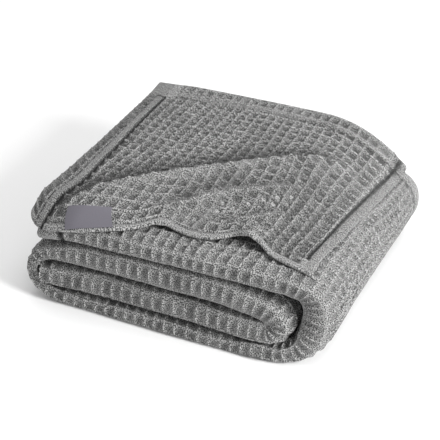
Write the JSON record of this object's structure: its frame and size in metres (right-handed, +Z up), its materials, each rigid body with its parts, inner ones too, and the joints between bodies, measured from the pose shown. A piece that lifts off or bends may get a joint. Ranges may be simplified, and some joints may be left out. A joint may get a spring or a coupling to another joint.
{
  "type": "folded waffle weave blanket",
  "caption": "Grey waffle weave blanket folded into a stack of soft bands, with its free hem turned over the top and a blank sewn label at one corner.",
  "frame": {"origin": "centre of the bounding box, on the surface that the stack rests on", "axes": "+X along the front edge of the stack to the right, +Y to the back, +Z up"},
  "size_m": [0.3349, 0.3059, 0.1222],
  "materials": {
    "blanket": "matte heathered cotton",
    "label": "matte woven tape"
  },
  "bodies": {
    "root": {"blanket": "blanket", "label": "label"}
  },
  "joints": []
}
